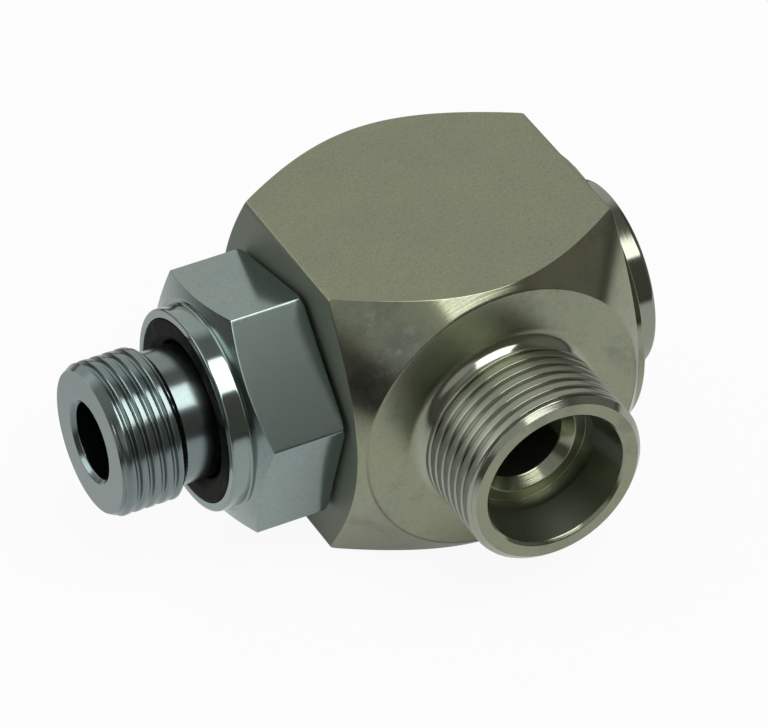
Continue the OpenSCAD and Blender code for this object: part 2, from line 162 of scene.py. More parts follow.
class Shell:
    """Grids of points, in mm, that together close one surface."""

    def __init__(self):
        self.points, self.quads, self.count = [], [], 0

    def grid(self, points, wrap=True, skip=None):
        """Quads over points[i, j]; i goes round when wrap is set, skip marks cells left open."""
        n, m = points.shape[:2]
        index = np.arange(n * m).reshape(n, m) + self.count
        after = np.roll(index, -1, 0) if wrap else index[1:]
        index = index if wrap else index[:-1]
        quads = np.stack([index[:, :-1], after[:, :-1], after[:, 1:], index[:, 1:]], -1)
        if skip is not None:
            quads = quads[~skip[: quads.shape[0], : quads.shape[1]]]
        self.points.append(points.reshape(-1, 3))
        self.quads.append(quads.reshape(-1, 4))
        self.count += n * m

    def between(self, start, end, shares):
        """Flat strips between two closed rows of points, at shares of the way."""
        shares = np.asarray(shares, float)[None, :, None]
        self.grid(start[:, None] * (1 - shares) + end[:, None] * shares)

    def build(self, name, sharp=32.0, merge=2e-7, tiny=1e-7):
        """One object at the origin, in metres: doubles merged, faces turned outwards."""
        mesh = bpy.data.meshes.new(name)
        points = np.concatenate(self.points) * MM
        quads = np.concatenate(self.quads)
        mesh.from_pydata(points, [], quads)
        work = bmesh.new()
        work.from_mesh(mesh)
        bmesh.ops.remove_doubles(work, verts=work.verts, dist=merge)
        bmesh.ops.dissolve_degenerate(work, edges=work.edges, dist=tiny)
        bmesh.ops.recalc_face_normals(work, faces=work.faces)
        work.to_mesh(mesh)
        work.free()
        mesh.polygons.foreach_set("use_smooth", np.ones(len(mesh.polygons), bool))
        mesh.set_sharp_from_angle(angle=math.radians(sharp))
        piece = bpy.data.objects.new(name, mesh)
        bpy.context.scene.collection.objects.link(piece)
        return piece


class Turned(Shell):
    """A shell of sections about one axis, one for each of its angles.

    place turns (along, radius, angle) into points.
    """

    def __init__(self, place, angles):
        super().__init__()
        self.place, self.angles = place, angles
        self.ones = np.ones((len(angles), 1))

    def put(self, along, radius, skip=None):
        """Part of the sections, with rows of their own for every angle."""
        self.grid(self.place(along, radius, self.angles[:, None]), skip=skip)

    def put_profile(self, profile):
        """Part of the sections that is the same at every angle."""
        self.put(self.ones * profile[:, 0], self.ones * profile[:, 1])

    def strip(self, start, end, shares=(0, 1)):
        """Straight part from start to end, each (along, radius), at shares of the way."""
        shares = np.asarray(shares, float)[None]
        along, radius = (a * (1 - shares) + b * shares for a, b in zip(start, end))
        self.put(self.ones * along, self.ones * radius)


def ease(x, start, end):
    """0 before start, 1 after end, and the cubic 3t^2 - 2t^3 between them."""
    t = np.clip((x - start) / (end - start), 0, 1)
    return t * t * (3 - 2 * t)


def thread_rows(start, end, angles, hand, deep, flank):
    """Grid of a thread: rows follow the helix, along = row + hand * pitch * turn.

    Every row has one depth: none on the crest, and eased down to deep over the flank,
    given in shares of the pitch from the middle of the crest. Rows past an end are held
    at the end, where their cells close up. Returns along and depth.
    """
    crest, root = flank
    steps = np.concatenate([[0, 0.5 * crest], np.linspace(crest, root, 9), [0.5]])
    steps = np.concatenate([steps, 1 - steps[-2:0:-1]])
    pitches = int(np.ceil((end - start) / PITCH)) + 2
    rows = (np.arange(pitches)[:, None] + steps).ravel() * PITCH
    lead = hand * PITCH * angles[:, None] / 360.0
    base = start - (PITCH if hand > 0 else 0)
    along = base + rows + lead
    held = np.clip(along, start, end)
    phase = np.mod(held - lead - base, PITCH) / PITCH
    phase = np.where(held == along, np.tile(steps, pitches), phase)
    return held, ease(np.minimum(phase, 1 - phase), crest, root) * deep


def closed(angles):
    """The angles with the first one repeated a full turn on."""
    return np.append(angles, angles[0] + 360.0)


def edge_rows(corner_along, corner_r, into, out, size=0.07, cells=4):
    """Rounded edge at a corner that differs from angle to angle: a parabola between the
    points size before the corner, against into, and size after it, along out."""
    t = np.linspace(0, 1, cells + 1)[None]
    before, after = size * (1 - t) ** 2, size * t**2
    return (
        corner_along[:, None] - into[0] * before + out[0] * after,
        corner_r[:, None] - into[1] * before + out[1] * after,
    )


def cone_way(slope):
    """Unit step inwards along a cone that goes slope mm along for each mm of radius."""
    return np.array([slope, -1.0]) / math.hypot(slope, 1)


def window(lengths, angles):
    """Closed row of (length, angle) round a rectangle in a round wall."""
    across, around = len(lengths) - 1, len(angles) - 1
    return np.concatenate([
        np.stack([np.full(around, lengths[0]), angles[:-1]], 1),
        np.stack([lengths[:-1], np.full(across, angles[-1])], 1),
        np.stack([np.full(around, lengths[-1]), angles[:0:-1]], 1),
        np.stack([lengths[:0:-1], np.full(across, angles[0])], 1),
    ])


def wall_patch(shell, place, loop, hole):
    """Surface between a window and a hole in a round wall.

    Both are closed rows of (length, angle); the rows between them are straight in those
    two measures, and place turns them into points.
    """
    shares = np.array([0, 0.35, 0.7, 0.92, 1])[None, :, None]
    flat = loop[:, None] * (1 - shares) + hole[:, None] * shares
    shell.grid(place(flat[..., 0], flat[..., 1]))


# Housing

SIDE_CELLS = 60
MARGIN = 8


def bar_angles():
    """Angles of one turn about the port axis, close together at the bar's four edges."""
    near = np.array([0, 0.4, 0.8, 1.25, 1.8, 2.5, 3.5, 5.0, 7.0])
    middle = np.linspace(7.0, 83.0, SIDE_CELLS - 15)[1:-1]
    side = np.concatenate([near, middle, 90 - near[:0:-1]])
    return np.concatenate([side + 90 * k - 45 for k in range(4)])


def bar_radius(angles):
    """Square bar with softly broken edges: half / (|cos|^p + |sin|^p)^(1/p), p = 70."""
    c, s = turn(angles)
    power = 70.0
    return HALF / (np.abs(c) ** power + np.abs(s) ** power) ** (1 / power)


def add_back(shell, edge):
    """Back face and back cone. Returns where the flats of the bar start."""
    rim = rounded([
        (-SHOULDER_BACK, 0), (-SHOULDER_BACK, SHOULDER_R, 0.25),
        (-SHOULDER_BACK + BACK_SLOPE, SHOULDER_R + 1),
    ])[:-1]
    on_face = [[-SHOULDER_BACK, 8.0], [-SHOULDER_BACK, 14.0]]
    rim = np.vstack([rim[:1], on_face, rim[1:]])
    shell.put_profile(rim)
    corner = -(BACK_EDGE + BACK_SLOPE * (CORNER_R - edge))
    along, radius = edge_rows(corner, edge, -cone_way(-BACK_SLOPE), (1, 0))
    shares = (0, 0.1, 0.3, 0.5, 0.7, 0.88, 0.96, 1)
    shell.strip(rim[-1], (along[:, :1], radius[:, :1]), shares)
    shell.put(along, radius)
    return along[:, -1]


def add_bar(shell, edge, start, end):
    """The bar between its turned ends. The middles of the two bearing sides stay open.
    Returns its points."""
    hold = 0.11  # mm between the first two rows, so that the shading of the flat stays flat
    shares = np.linspace(0, 1, 15)[None]
    middle = (start + hold)[:, None] * (1 - shares) + (end - hold)[:, None] * shares
    along = np.hstack([start[:, None], middle, end[:, None]])
    radius = edge[:, None] * np.ones_like(along)
    skip = np.zeros((len(edge), along.shape[1] - 1), bool)
    for side in (0, 2):
        skip[side * SIDE_CELLS + MARGIN:(side + 1) * SIDE_CELLS - MARGIN, 1:-1] = True
    shell.put(along, radius, skip)
    return shell.place(along, radius, shell.angles[:, None])


def add_front(shell, along, radius):
    """Front cone from the rounded edge of the flats, dished face and neck of the port."""
    c, s = turn(np.linspace(0, 90, 13))
    fillet = np.stack([DISH + FILLET * (1 - c), NECK_R + FILLET * (1 - s)], 1)
    fillet = fillet[fillet[:, 0] < PORT_THREAD_FROM - 0.03]
    face = rounded([
        (SHOULDER_FRONT - FRONT_SLOPE, SHOULDER_R + 1), (SHOULDER_FRONT, SHOULDER_R, 0.14),
        (DISH, NECK_R + FILLET),
    ], hold=0.25)[1:-1]
    in_dish = [[DISH - 0.2, 14.8]]
    neck = np.vstack([face, in_dish, fillet, [[PORT_THREAD_FROM, RUN_OUT_R]]])
    shell.put(along, radius)
    shares = (0, 0.02, 0.08, 0.2, 0.36, 0.52, 0.68, 0.84, 0.95, 1)
    shell.strip((along[:, -1:], radius[:, -1:]), neck[0], shares)
    shell.put_profile(neck)


def add_port_thread(shell):
    """Port thread with its run-out and end bevel. Returns its radius at the end."""
    around = closed(shell.angles)
    along, depth = thread_rows(
        PORT_THREAD_FROM, PORT_END, around, hand=1.0, deep=0.42, flank=(0.30, 0.48)
    )
    fade = 1.1
    depth = depth * ease(along, PORT_THREAD_FROM, PORT_THREAD_FROM + fade)
    run_out = RUN_OUT_R + along - PORT_THREAD_FROM
    bevel = PORT_R - PORT_BEVEL + PORT_END - along
    radius = np.minimum(PORT_R - depth, np.minimum(run_out, bevel))
    shell.grid(about_port(along, radius, around[:, None]), wrap=False)
    return radius[:-1, -1:]


def add_port_inside(shell, thread_end):
    """End face, cone, tube seat and passage. Returns where the passage meets the bore."""
    face_r = 9.9
    cone_end = PORT_END - MOUTH_BEVEL - (MOUTH_R - TUBE_R) / math.tan(math.radians(CONE_ANGLE))
    shell.strip((PORT_END, thread_end), (PORT_END, face_r))
    shell.put_profile(rounded([
        (PORT_END, face_r, 0), (PORT_END, MOUTH_R + MOUTH_BEVEL, 0.08),
        (PORT_END - MOUTH_BEVEL, MOUTH_R, 0.08), (cone_end, TUBE_R, 0.1),
        (TUBE_SEAT, TUBE_R, 0.06), (TUBE_SEAT, TUBE_SEAT_R, 0.08),
        (TUBE_SEAT - TUBE_SEAT_R + PASSAGE_R, PASSAGE_R, 0.08), (PASSAGE_FROM, PASSAGE_R, 0),
    ]))
    meet = np.sqrt(BORE_R**2 - (PASSAGE_R * turn(shell.angles)[1]) ** 2)
    shell.strip((PASSAGE_FROM, PASSAGE_R), (meet[:, None], PASSAGE_R))
    return meet


def add_bearing_sides(shell, bar):
    """The two sides with bearings: flat rings from the bar to the boss or the seat, the
    seats of the races and the seal grooves. Returns the angles of their points."""
    first, last = MARGIN, SIDE_CELLS - MARGIN
    low, high = 1, bar.shape[1] - 2
    ring = [(i, high) for i in range(first, last)]
    ring += [(last, j) for j in range(high, low, -1)]
    ring += [(i, low) for i in range(last, first, -1)]
    ring += [(first, j) for j in range(low, high)]
    rows, columns = np.array(ring).T
    right = bar[rows, columns]
    left = right * (-1, 1, 1)
    spread = np.degrees(np.arctan2(-right[:, 1], right[:, 2] - AXIS_HEIGHT))
    boss = rounded([
        (HALF, BOSS_R + 0.05, 0), (HALF + 0.05, BOSS_R, 0), (BOSS_FACE, BOSS_R, 0.2),
        (BOSS_FACE, RACE_R, 0.1), (RACE_BACK, RACE_R, 0),
    ])
    seat = rounded([(HALF, RACE_R + 1.2, 0), (HALF, RACE_R, 0.1), (RACE_BACK, RACE_R, 0)])
    bore = np.array([
        (RACE_BACK, RACE_R), (RACE_BACK, BORE_R), (GROOVE_OUT, BORE_R), (GROOVE_OUT, GROOVE_R),
        (GROOVE_IN, GROOVE_R), (GROOVE_IN, BORE_R), (BORE_END, BORE_R),
    ])
    for way, profile, outline, shares in (
        (1.0, boss, right, (0, 1)), (-1.0, seat, left, (0, 0.5, 1)),
    ):
        start = about_swivel(profile[0, 0], profile[0, 1], spread, way)
        shell.between(outline, start, shares)
        for p in (profile, bore):
            shell.grid(about_swivel(p[:, 0], p[:, 1], spread[:, None], way))
    return spread


def add_bore(shell, spread, meet):
    """Bore wall between the two sides, with the round opening of the port passage."""
    def wall(length, angle):
        return about_swivel(length, BORE_R, angle, 1.0)

    tall = 40
    wide = 2 * SIDE_CELLS - tall
    first = (SIDE_CELLS - 2 * MARGIN - tall) // 2
    lengths = np.linspace(BORE_END, -BORE_END, wide + 1)
    skip = np.zeros((len(spread), wide), bool)
    skip[first:first + tall] = True
    shell.grid(wall(lengths[None], spread[:, None]), skip=skip)
    loop = window(lengths, spread[first:first + tall + 1])
    loop = np.roll(loop, (SIDE_CELLS - tall) // 2, 0)
    c, s = turn(shell.angles)
    hole = np.stack([PASSAGE_R * c, np.degrees(np.arctan2(meet, PASSAGE_R * s))], 1)
    wall_patch(shell, wall, loop, hole)


def make_housing():
    """Housing: one section per angle about the port axis, run from the back to the bore.

    The section goes over the back cone, along the bar, over the front cone, the neck, the
    thread and into the port. The two sides with bearings are flat rings from the rounded
    edge of the bar to the boss or the seat, and go on into the bore.
    """
    shell = Turned(about_port, bar_angles())
    edge = bar_radius(shell.angles)
    corner = FRONT_EDGE + FRONT_SLOPE * (CORNER_R - edge)
    front = edge_rows(corner, edge, (1, 0), cone_way(FRONT_SLOPE))
    start = add_back(shell, edge)
    bar = add_bar(shell, edge, start, front[0][:, 0])
    add_front(shell, *front)
    thread_end = add_port_thread(shell)
    meet = add_port_inside(shell, thread_end)
    spread = add_bearing_sides(shell, bar)
    add_bore(shell, spread, meet)
    return shell.build("housing_turned")


# Spindle


def hex_angles():
    """Angles of one turn from the first corner, close together at the six corners."""
    near = np.array([0, 0.12, 0.26, 0.45, 0.75, 1.3, 3.2])
    middle = np.linspace(3.2, 56.8, 29)[1:-1]
    side = np.concatenate([near, middle, 60 - near[:0:-1]])
    return np.concatenate([side + 60 * k for k in range(6)])


def hex_radius(angles):
    """Hexagon with softly broken edges: half / (sum of |cos|^p over its 3 axes)^(1/p),
    p = 360."""
    power = 360.0
    total = sum(np.abs(turn(angles - 30 - 60 * k)[0]) ** power for k in range(3))
    return HEX_HALF / total ** (1 / power)


def add_tail_and_journal(shell):
    """Tail with its centre hole and clip groove, journal with the oil channel, and hub."""
    slope_end, floor_end = CHANNEL_FLOOR + 0.1, CHANNEL_FLOOR
    centre_r = CENTRE_DEPTH * math.tan(math.radians(CENTRE_ANGLE))
    shell.put_profile(rounded([
        (CENTRE_DEPTH - TAIL_END, 0, 0), (-TAIL_END, centre_r, 0.1),
        (-TAIL_END, TAIL_R - TAIL_BEVEL, 0.1), (TAIL_BEVEL - TAIL_END, TAIL_R, 0.1),
        (-CLIP_SLOT, TAIL_R, 0), (-CLIP_SLOT, CLIP_GROOVE_R, 0),
        (-CLIP_SEAT, CLIP_GROOVE_R, 0), (-CLIP_SEAT, TAIL_R, 0),
        (-JOURNAL_END, TAIL_R, 0), (-JOURNAL_END, JOURNAL_R, 0.1),
        (-CHANNEL_HALF, JOURNAL_R, 0.1), (-slope_end, CHANNEL_R, 0), (-floor_end, CHANNEL_R, 0),
    ]))
    shell.put_profile(rounded([
        (floor_end, CHANNEL_R, 0), (slope_end, CHANNEL_R, 0), (CHANNEL_HALF, JOURNAL_R, 0.1),
        (HUB_AT, JOURNAL_R, 0), (HUB_AT, HUB_R, 0), (HEX_BACK, HUB_R, 0),
        (HEX_BACK, HEX_BACK_R, 0),
    ]))


def add_hexagon(shell, edge):
    """Hexagon: back face, back bevel, flats and front cone, then the collar and the neck
    of the stud."""
    over = np.maximum(edge - HEX_BEVEL_R, 0)
    along, radius = edge_rows(HEX_BACK + 0 * edge, edge - over, (0, 1), (1, 0), size=0.09)
    shell.strip((HEX_BACK, HEX_BACK_R), (HEX_BACK, radius[:, :1]), (0, 0.95, 1))
    shell.put(along, radius)
    flat = np.maximum(HEX_BACK + over[:, None], along[:, -1:])
    flat_r = edge[:, None]
    shell.strip((along[:, -1:], radius[:, -1:]), (flat, flat_r))
    corner = HEX_FRONT - HEX_SLOPE * (edge - HEX_FACE_R)
    along, radius = edge_rows(corner, edge, (1, 0), cone_way(HEX_SLOPE), size=0.055)
    shares = (0, 0.02, 0.2, 0.4, 0.6, 0.8, 0.98, 1)
    shell.strip((flat, flat_r), (along[:, :1], flat_r), shares)
    shell.put(along, radius)
    collar = rounded([
        (HEX_FRONT - HEX_SLOPE, HEX_FACE_R + 1, 0), (HEX_FRONT, HEX_FACE_R, 0.12),
        (HEX_FRONT, COLLAR_R, 0.22), (SEALING_FACE, COLLAR_R, 0.3),
        (SEALING_FACE, RECESS_R, 0.08), (RECESS_AT, RECESS_R, 0),
        (RECESS_AT, STUD_NECK_R, 0.3), (STUD_THREAD_FROM, STUD_NECK_R, 0),
    ])[1:]
    shell.strip((along[:, -1:], radius[:, -1:]), collar[0], (0, 0.06, 0.5, 0.9, 1))
    shell.put_profile(collar)


def add_stud(shell, angles):
    """Stud thread from its run-out to the end bevel, end face and blind bore."""
    around = closed(angles)
    along, depth = thread_rows(
        STUD_THREAD_FROM, STUD_END, around, hand=-1.0, deep=0.45, flank=(0.18, 0.47)
    )
    run_out_slope = 1.1
    run_out = STUD_NECK_R + run_out_slope * (along - STUD_THREAD_FROM)
    bevel_slope = math.tan(math.radians(BEVEL_ANGLE))
    bevel = STUD_R - STUD_BEVEL + bevel_slope * (STUD_END - along)
    radius = np.minimum(STUD_R - depth, np.minimum(run_out, bevel))
    shell.grid(about_swivel(along, radius, (around + HEX_TURN)[:, None]), wrap=False)
    shell.strip((STUD_END, radius[:-1, -1:]), (STUD_END, STUD_FACE_R))
    shell.put_profile(rounded([
        (STUD_END, STUD_FACE_R, 0), (STUD_END, STUD_BORE_R + BORE_BEVEL, 0.08),
        (STUD_END - BORE_BEVEL, STUD_BORE_R, 0.1), (CHANNEL_HALF, STUD_BORE_R, 0),
    ]))
    shell.put_profile(np.array([(-CROSS_R, STUD_BORE_R), (-CROSS_R - DRILL_POINT, 0)]))


# Walls that the cross holes go through: the channel's floor and the bore. Each has its
# radius, its lengths between two places along the axis, and the radius of its holes.
# HOLE_SPREAD is the angle that counts as much as half the channel's floor where the
# points are spread over the rim of a hole.
CROSS_REACH, CROSS_CELLS, HOLE_SPREAD = 28, 24, 40
WALLS_CUT = (
    (CHANNEL_R, np.linspace(CHANNEL_FLOOR, -CHANNEL_FLOOR, CROSS_CELLS + 1), CROSS_R),
    (STUD_BORE_R, np.linspace(CHANNEL_HALF, -CROSS_R, CROSS_CELLS + 1), CROSS_R - 0.08),
)


def cut_wall(shell, radius, outline, middle, cross, bearing):
    """Surface of a round wall between an outline and one cross hole, whose points lie at
    those bearings about its middle. Returns the rim of the hole."""
    def wall(length, angle):
        return about_swivel(length, radius, angle)

    around = middle + np.degrees(np.arcsin(cross * np.sin(bearing) / radius))
    hole = np.stack([cross * np.cos(bearing), around], 1)
    wall_patch(shell, wall, outline, hole)
    return wall(hole[:, 0], hole[:, 1])


def add_cross_holes(shell):
    """The four cross holes, through the channel's floor into the bore."""
    count = len(shell.angles)
    middles = [k * count // CROSS_COUNT for k in range(CROSS_COUNT)]
    for radius, lengths, cross in WALLS_CUT:
        skip = np.zeros((count, CROSS_CELLS), bool)
        for middle in middles:
            skip[np.arange(-CROSS_REACH, CROSS_REACH) + middle] = True
        shell.put(shell.ones * lengths, shell.ones * radius, skip)
    for middle in middles:
        span = np.arange(-CROSS_REACH, CROSS_REACH + 1) + middle
        up = shell.angles[span % count] + 360 * (span // count)
        centre = up[CROSS_REACH]
        outlines = [window(lengths, up) for radius, lengths, cross in WALLS_CUT]
        first = outlines[0]
        across = (first[:, 1] - centre) / HOLE_SPREAD
        bearing = np.arctan2(across, first[:, 0] / CHANNEL_FLOOR)
        rims = [
            cut_wall(shell, radius, outline, centre, cross, bearing)
            for (radius, lengths, cross), outline in zip(WALLS_CUT, outlines)
        ]
        shell.between(*rims, shares=(0, 1))


def make_spindle():
    """Spindle: one section per angle about the swivel axis, from the tail to the stud and
    back through the bore. On the hexagon the section ends at the hexagon's own radius."""
    angles = hex_angles()
    shell = Turned(about_swivel, angles + HEX_TURN)
    add_tail_and_journal(shell)
    add_hexagon(shell, hex_radius(angles))
    add_stud(shell, angles)
    add_cross_holes(shell)
    return shell.build("spindle_turned")


# Turned rings


def make_ring(name, corners, way, cells=144):
    """Ring turned from a closed profile (along, radius, rounding) about the swivel axis."""
    shell = Shell()
    profile = rounded(corners + corners[:2])[1:]
    profile = np.vstack([profile, profile[:1]])
    angles = np.linspace(0, 360, cells, endpoint=False)
    shell.grid(about_swivel(profile[:, 0], profile[:, 1], angles[:, None], way))
    return shell.build(name)


NOSE_R = BALL_CIRCLE_R - TRACK_R - TRACK_GAP
TRACK_FACE = BALL_ROW + TRACK_R - RACE_LAND
# Points of the rear balls' track, on the arc about a ball's centre
BALL_TRACK = [
    (14.1, 8.09, 0), (14.4, 8.06, 0), (14.9, 8.14, 0), (15.35, 8.39, 0), (15.72, 8.81, 0),
    (15.92, 9.37, 0), (BALL_ROW + TRACK_R, BALL_CIRCLE_R, 0),
]
END_RING = [
    (RING_NOSE, TAIL_R, 0), (RING_NOSE, NOSE_R, 0.1), (BALL_ROW - RACE_LIP, NOSE_R, 0),
    *BALL_TRACK,
    (TRACK_FACE, BALL_CIRCLE_R, 0), (TRACK_FACE, RING_NECK_R, 0.1), (RING_BACK, RING_NECK_R, 0),
    (RING_BACK, RING_R, 0.12), (RING_END, RING_R, 0.42), (RING_END, CLIP_ROOM_R, 0.12),
    (CLIP_SEAT, CLIP_ROOM_R, 0.1), (CLIP_SEAT, TAIL_R, 0),
]
SEAL_IN_R, SEAL_TOP = STUD_NECK_R + 0.25, SEALING_FACE + 0.05
SEAL_RING = [
    (RECESS_AT, SEAL_IN_R, 0), (RECESS_AT, RECESS_R, 0), (SEAL_TOP, RECESS_R, 0.35),
    (SEAL_TOP, SEAL_IN_R + 0.9, 0.3), (SEAL_TOP - 0.6, SEAL_IN_R, 0.25),
]

housing = make_housing()
spindle = make_spindle()
end_ring = make_ring("end_ring_turned", END_RING, 1.0)
seal_ring = make_ring("seal_ring_moulded", SEAL_RING, -1.0)
for piece, body, node, finish in (
    (housing, "housing_group", "housing", "housing_plating"),
    (spindle, "spindle_group", "spindle", "spindle_plating"),
    (end_ring, "spindle_group", "end_ring", "spindle_plating"),
    (seal_ring, "spindle_group", "stud_seal_ring", "seal_rubber"),
):
    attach(piece, body)
    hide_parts(node)
    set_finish(piece, finish)


# Finishes

AXIS = AXIS_HEIGHT * MM
MICRON = 1e-6


class Number:
    """A socket with a number, or a vector, that can be used in an expression."""

    def __init__(self, nodes, socket):
        self.nodes, self.socket = nodes, socket

    def math(self, operation, *others):
        """One operation over the numbers that follow."""
        values = dict(enumerate(others))
        return self.nodes.node("ShaderNodeMath", values, operation=operation)

    def __add__(self, other):
        return self.math("ADD", self, other)

    def __sub__(self, other):
        return self.math("SUBTRACT", self, other)

    def __rsub__(self, other):
        return self.math("SUBTRACT", other, self)

    def __mul__(self, other):
        return self.math("MULTIPLY", self, other)

    __radd__, __rmul__ = __add__, __mul__

    def hypot(self, other):
        """Distance from nought: (a * a + b * b) to the power of a half."""
        return self.math("POWER", self * self + other * other, 0.5)

    def step(self, start, end, low=0.0, high=1.0):
        """low before start, high after end, eased between them."""
        values = {0: self, 1: start, 2: end, 3: low, 4: high}
        return self.nodes.node("ShaderNodeMapRange", values, interpolation_type="SMOOTHSTEP")

    def step_mm(self, start, end, low=0.0, high=1.0):
        """The same for a number in metres, with start and end in millimetres."""
        return self.step(start * MM, end * MM, low, high)


class Nodes:
    """Makes the nodes of one tree from expressions."""

    def __init__(self, tree):
        self.tree = tree

    def node(self, kind, values, out=0, **settings):
        """A node of that kind: its settings first, then its sockets by number or name."""
        made = self.tree.nodes.new(kind)
        for key, value in settings.items():
            setattr(made, key, value)
        for key, value in values.items():
            self.give(made.inputs[key], value)
        return Number(self, made.outputs[out])

    def give(self, socket, value):
        """Links or sets one socket; a colour of three numbers gets its fourth."""
        if isinstance(value, Number):
            self.tree.links.new(value.socket, socket)
        elif socket.type == "RGBA":
            socket.default_value = (*value, 1.0)
        else:
            socket.default_value = value

    def parts(self, vector):
        """X, Y and Z of a vector."""
        made = self.node("ShaderNodeSeparateXYZ", {0: vector}).socket.node
        return [Number(self, made.outputs[k]) for k in range(3)]

    def point(self, *parts):
        """Vector with those three parts."""
        return self.node("ShaderNodeCombineXYZ", dict(enumerate(parts)))

    def rays(self, kind):
        """1 for the rays of one kind, such as those that the camera sees directly."""
        return self.node("ShaderNodeLightPath", {}, out=kind)


class Finish(Nodes):
    """One material: a metallic or plain surface whose sockets take expressions."""

    def __init__(self, name):
        self.material = bpy.data.materials.new(name)
        self.material.use_nodes = True
        super().__init__(self.material.node_tree)
        self.surface = self.tree.nodes["Principled BSDF"]
        self.place = self.node("ShaderNodeTexCoord", {}, out="Object")
        self.facing = Number(self, self.place.socket.node.outputs["Normal"])

    def noise(self, per_metre, detail=3.0, rough=0.5, at=None):
        """Cloudy numbers from 0 to 1, with so many clouds in a metre."""
        values = dict(Vector=at or self.place, Scale=per_metre, Detail=detail, Roughness=rough)
        return self.node("ShaderNodeTexNoise", values)

    def mix(self, share, first, second):
        """First colour where share is 0, second where it is 1."""
        return self.node("ShaderNodeMix", {0: share, 6: first, 7: second}, 2, data_type="RGBA")

    def bump(self, height, microns):
        """Normal from a height of 0 to 1 that stands for so many micrometres."""
        return self.node("ShaderNodeBump", {"Height": height, "Distance": microns * MICRON})

    def done(self, **sockets):
        """Sets the surface's sockets, as numbers or as expressions."""
        for name, value in sockets.items():
            self.give(self.surface.inputs[name.replace("_", " ")], value)
        return self.material


# Middles of the stain on the front cone and of its dark spot, as (x, z) in mm
STAIN_AT = (-15.0, 30.0)
DARK_SPOT_AT = (-16.2, 26.8)


def away(x, z, place):
    """Distance of x and z, in metres, from a place given in mm."""
    return (x - place[0] * MM).hypot(z - place[1] * MM)


def housing_plating():
    """Satin zinc-nickel: fine grain on the bar, turning rings on the turned faces, a cloudy
    stain on the front cone, a darker tube cone, duller bar sides, and a line of painted shade
    mixed with dirt, low in the crease round the dish."""
    f = Finish("satin_plating")
    x, y, z = f.parts(f.place)
    facing = f.parts(f.facing)
    radius = x.hypot(z - AXIS)
    turned = (facing[1] * facing[1]).step(0.03, 0.25)
    face = (facing[1] * facing[1]).step(0.80, 0.95)
    neck = radius.step_mm(PORT_R + 0.7, PORT_R - 0.1) * radius.step_mm(MOUTH_R + 0.4, MOUTH_R + 0.9)
    neck = neck * y.step_mm(-17.6, -18.2) * (1.0 - face)
    boss = x.step_mm(HALF + 0.02, HALF + 0.12)
    sides = (facing[0] * facing[0]).step(0.9, 0.97) * (1.0 - boss)
    inside = radius.step_mm(MOUTH_R + 0.3, MOUTH_R - 0.1)
    inside = inside * y.step_mm(-TUBE_SEAT - 0.3, -TUBE_SEAT - 1.9)
    spot = away(x, z, STAIN_AT)
    dark_spot = away(x, z, DARK_SPOT_AT)
    grain = f.noise(3800, 3.0, 0.65)
    fleck = f.noise(1500, 3.0, 0.6)
    cloud = f.noise(130, 5.0, 0.6)
    stain = f.noise(210, 6.0, 0.66)
    rings = f.noise(5200, 2.0, 0.6, f.point(radius, y, 0.0))
    wide_rings = f.noise(900, 2.0, 0.5, f.point(radius, y, 0.0))
    colour = f.mix(cloud.step(0.35, 0.65), (0.332, 0.350, 0.240), (0.308, 0.332, 0.244))
    colour = f.mix(grain.step(0.45, 0.7) * (0.42 - turned * 0.16), colour, (0.17, 0.18, 0.12))
    colour = f.mix(fleck.step(0.55, 0.72) * (0.22 - turned * 0.12), colour, (0.45, 0.46, 0.34))
    colour = f.mix(stain.step(0.5, 0.72) * turned * 0.5, colour, (0.17, 0.18, 0.15))
    colour = f.mix(neck * 0.7, colour, (0.40, 0.42, 0.36))
    colour = f.mix(inside * 0.6, colour, (0.20, 0.24, 0.195))
    scuffed = f.noise(330, 8.0, 0.74).step(0.42, 0.60)
    smudge = spot.step_mm(7.4, 4.0) * turned * y.step_mm(-10.0, -10.6) * (1.0 - face)
    colour = f.mix(smudge * (0.25 + scuffed * 0.55), colour, (0.215, 0.236, 0.205))
    pale_scuff = f.noise(520, 7.0, 0.72).step(0.54, 0.66)
    colour = f.mix(smudge * pale_scuff * 0.5, colour, (0.43, 0.46, 0.41))
    smudge = smudge * dark_spot.step_mm(3.4, 0.8)
    colour = f.mix(smudge * (0.35 + scuffed * 0.4), colour, (0.11, 0.12, 0.115))
    rough = 0.33 + grain * 0.10 + stain * 0.06 - turned * 0.25 + face * 0.15 - neck * 0.03
    rough = rough + sides * 0.12 - boss * 0.2
    colour = f.mix(sides * 0.75, colour, (0.150, 0.186, 0.158))
    metal = 1.0 - sides * 0.45
    # Painted shade mixed with dirt: a dark line in the crease between the front cone and the dish,
    # fading out towards the top
    crease_shade_and_dirt = radius.step_mm(SHOULDER_R - 0.25, SHOULDER_R - 0.05)
    crease_shade_and_dirt = crease_shade_and_dirt * radius.step_mm(SHOULDER_R + 0.2, SHOULDER_R + 0.02)
    crease_shade_and_dirt = crease_shade_and_dirt * y.step_mm(-16.5, -16.7) * z.step_mm(AXIS_HEIGHT + 6.0, AXIS_HEIGHT - 6.0)
    colour = f.mix(crease_shade_and_dirt * (0.35 + stain * 0.5), colour, (0.11, 0.115, 0.09))
    height = grain * (1.0 - turned) + (rings * 0.8 + wide_rings * 0.5) * turned
    relief = f.bump(height, 5.0)
    return f.done(Base_Color=colour, Metallic=metal, Roughness=rough, Normal=relief)


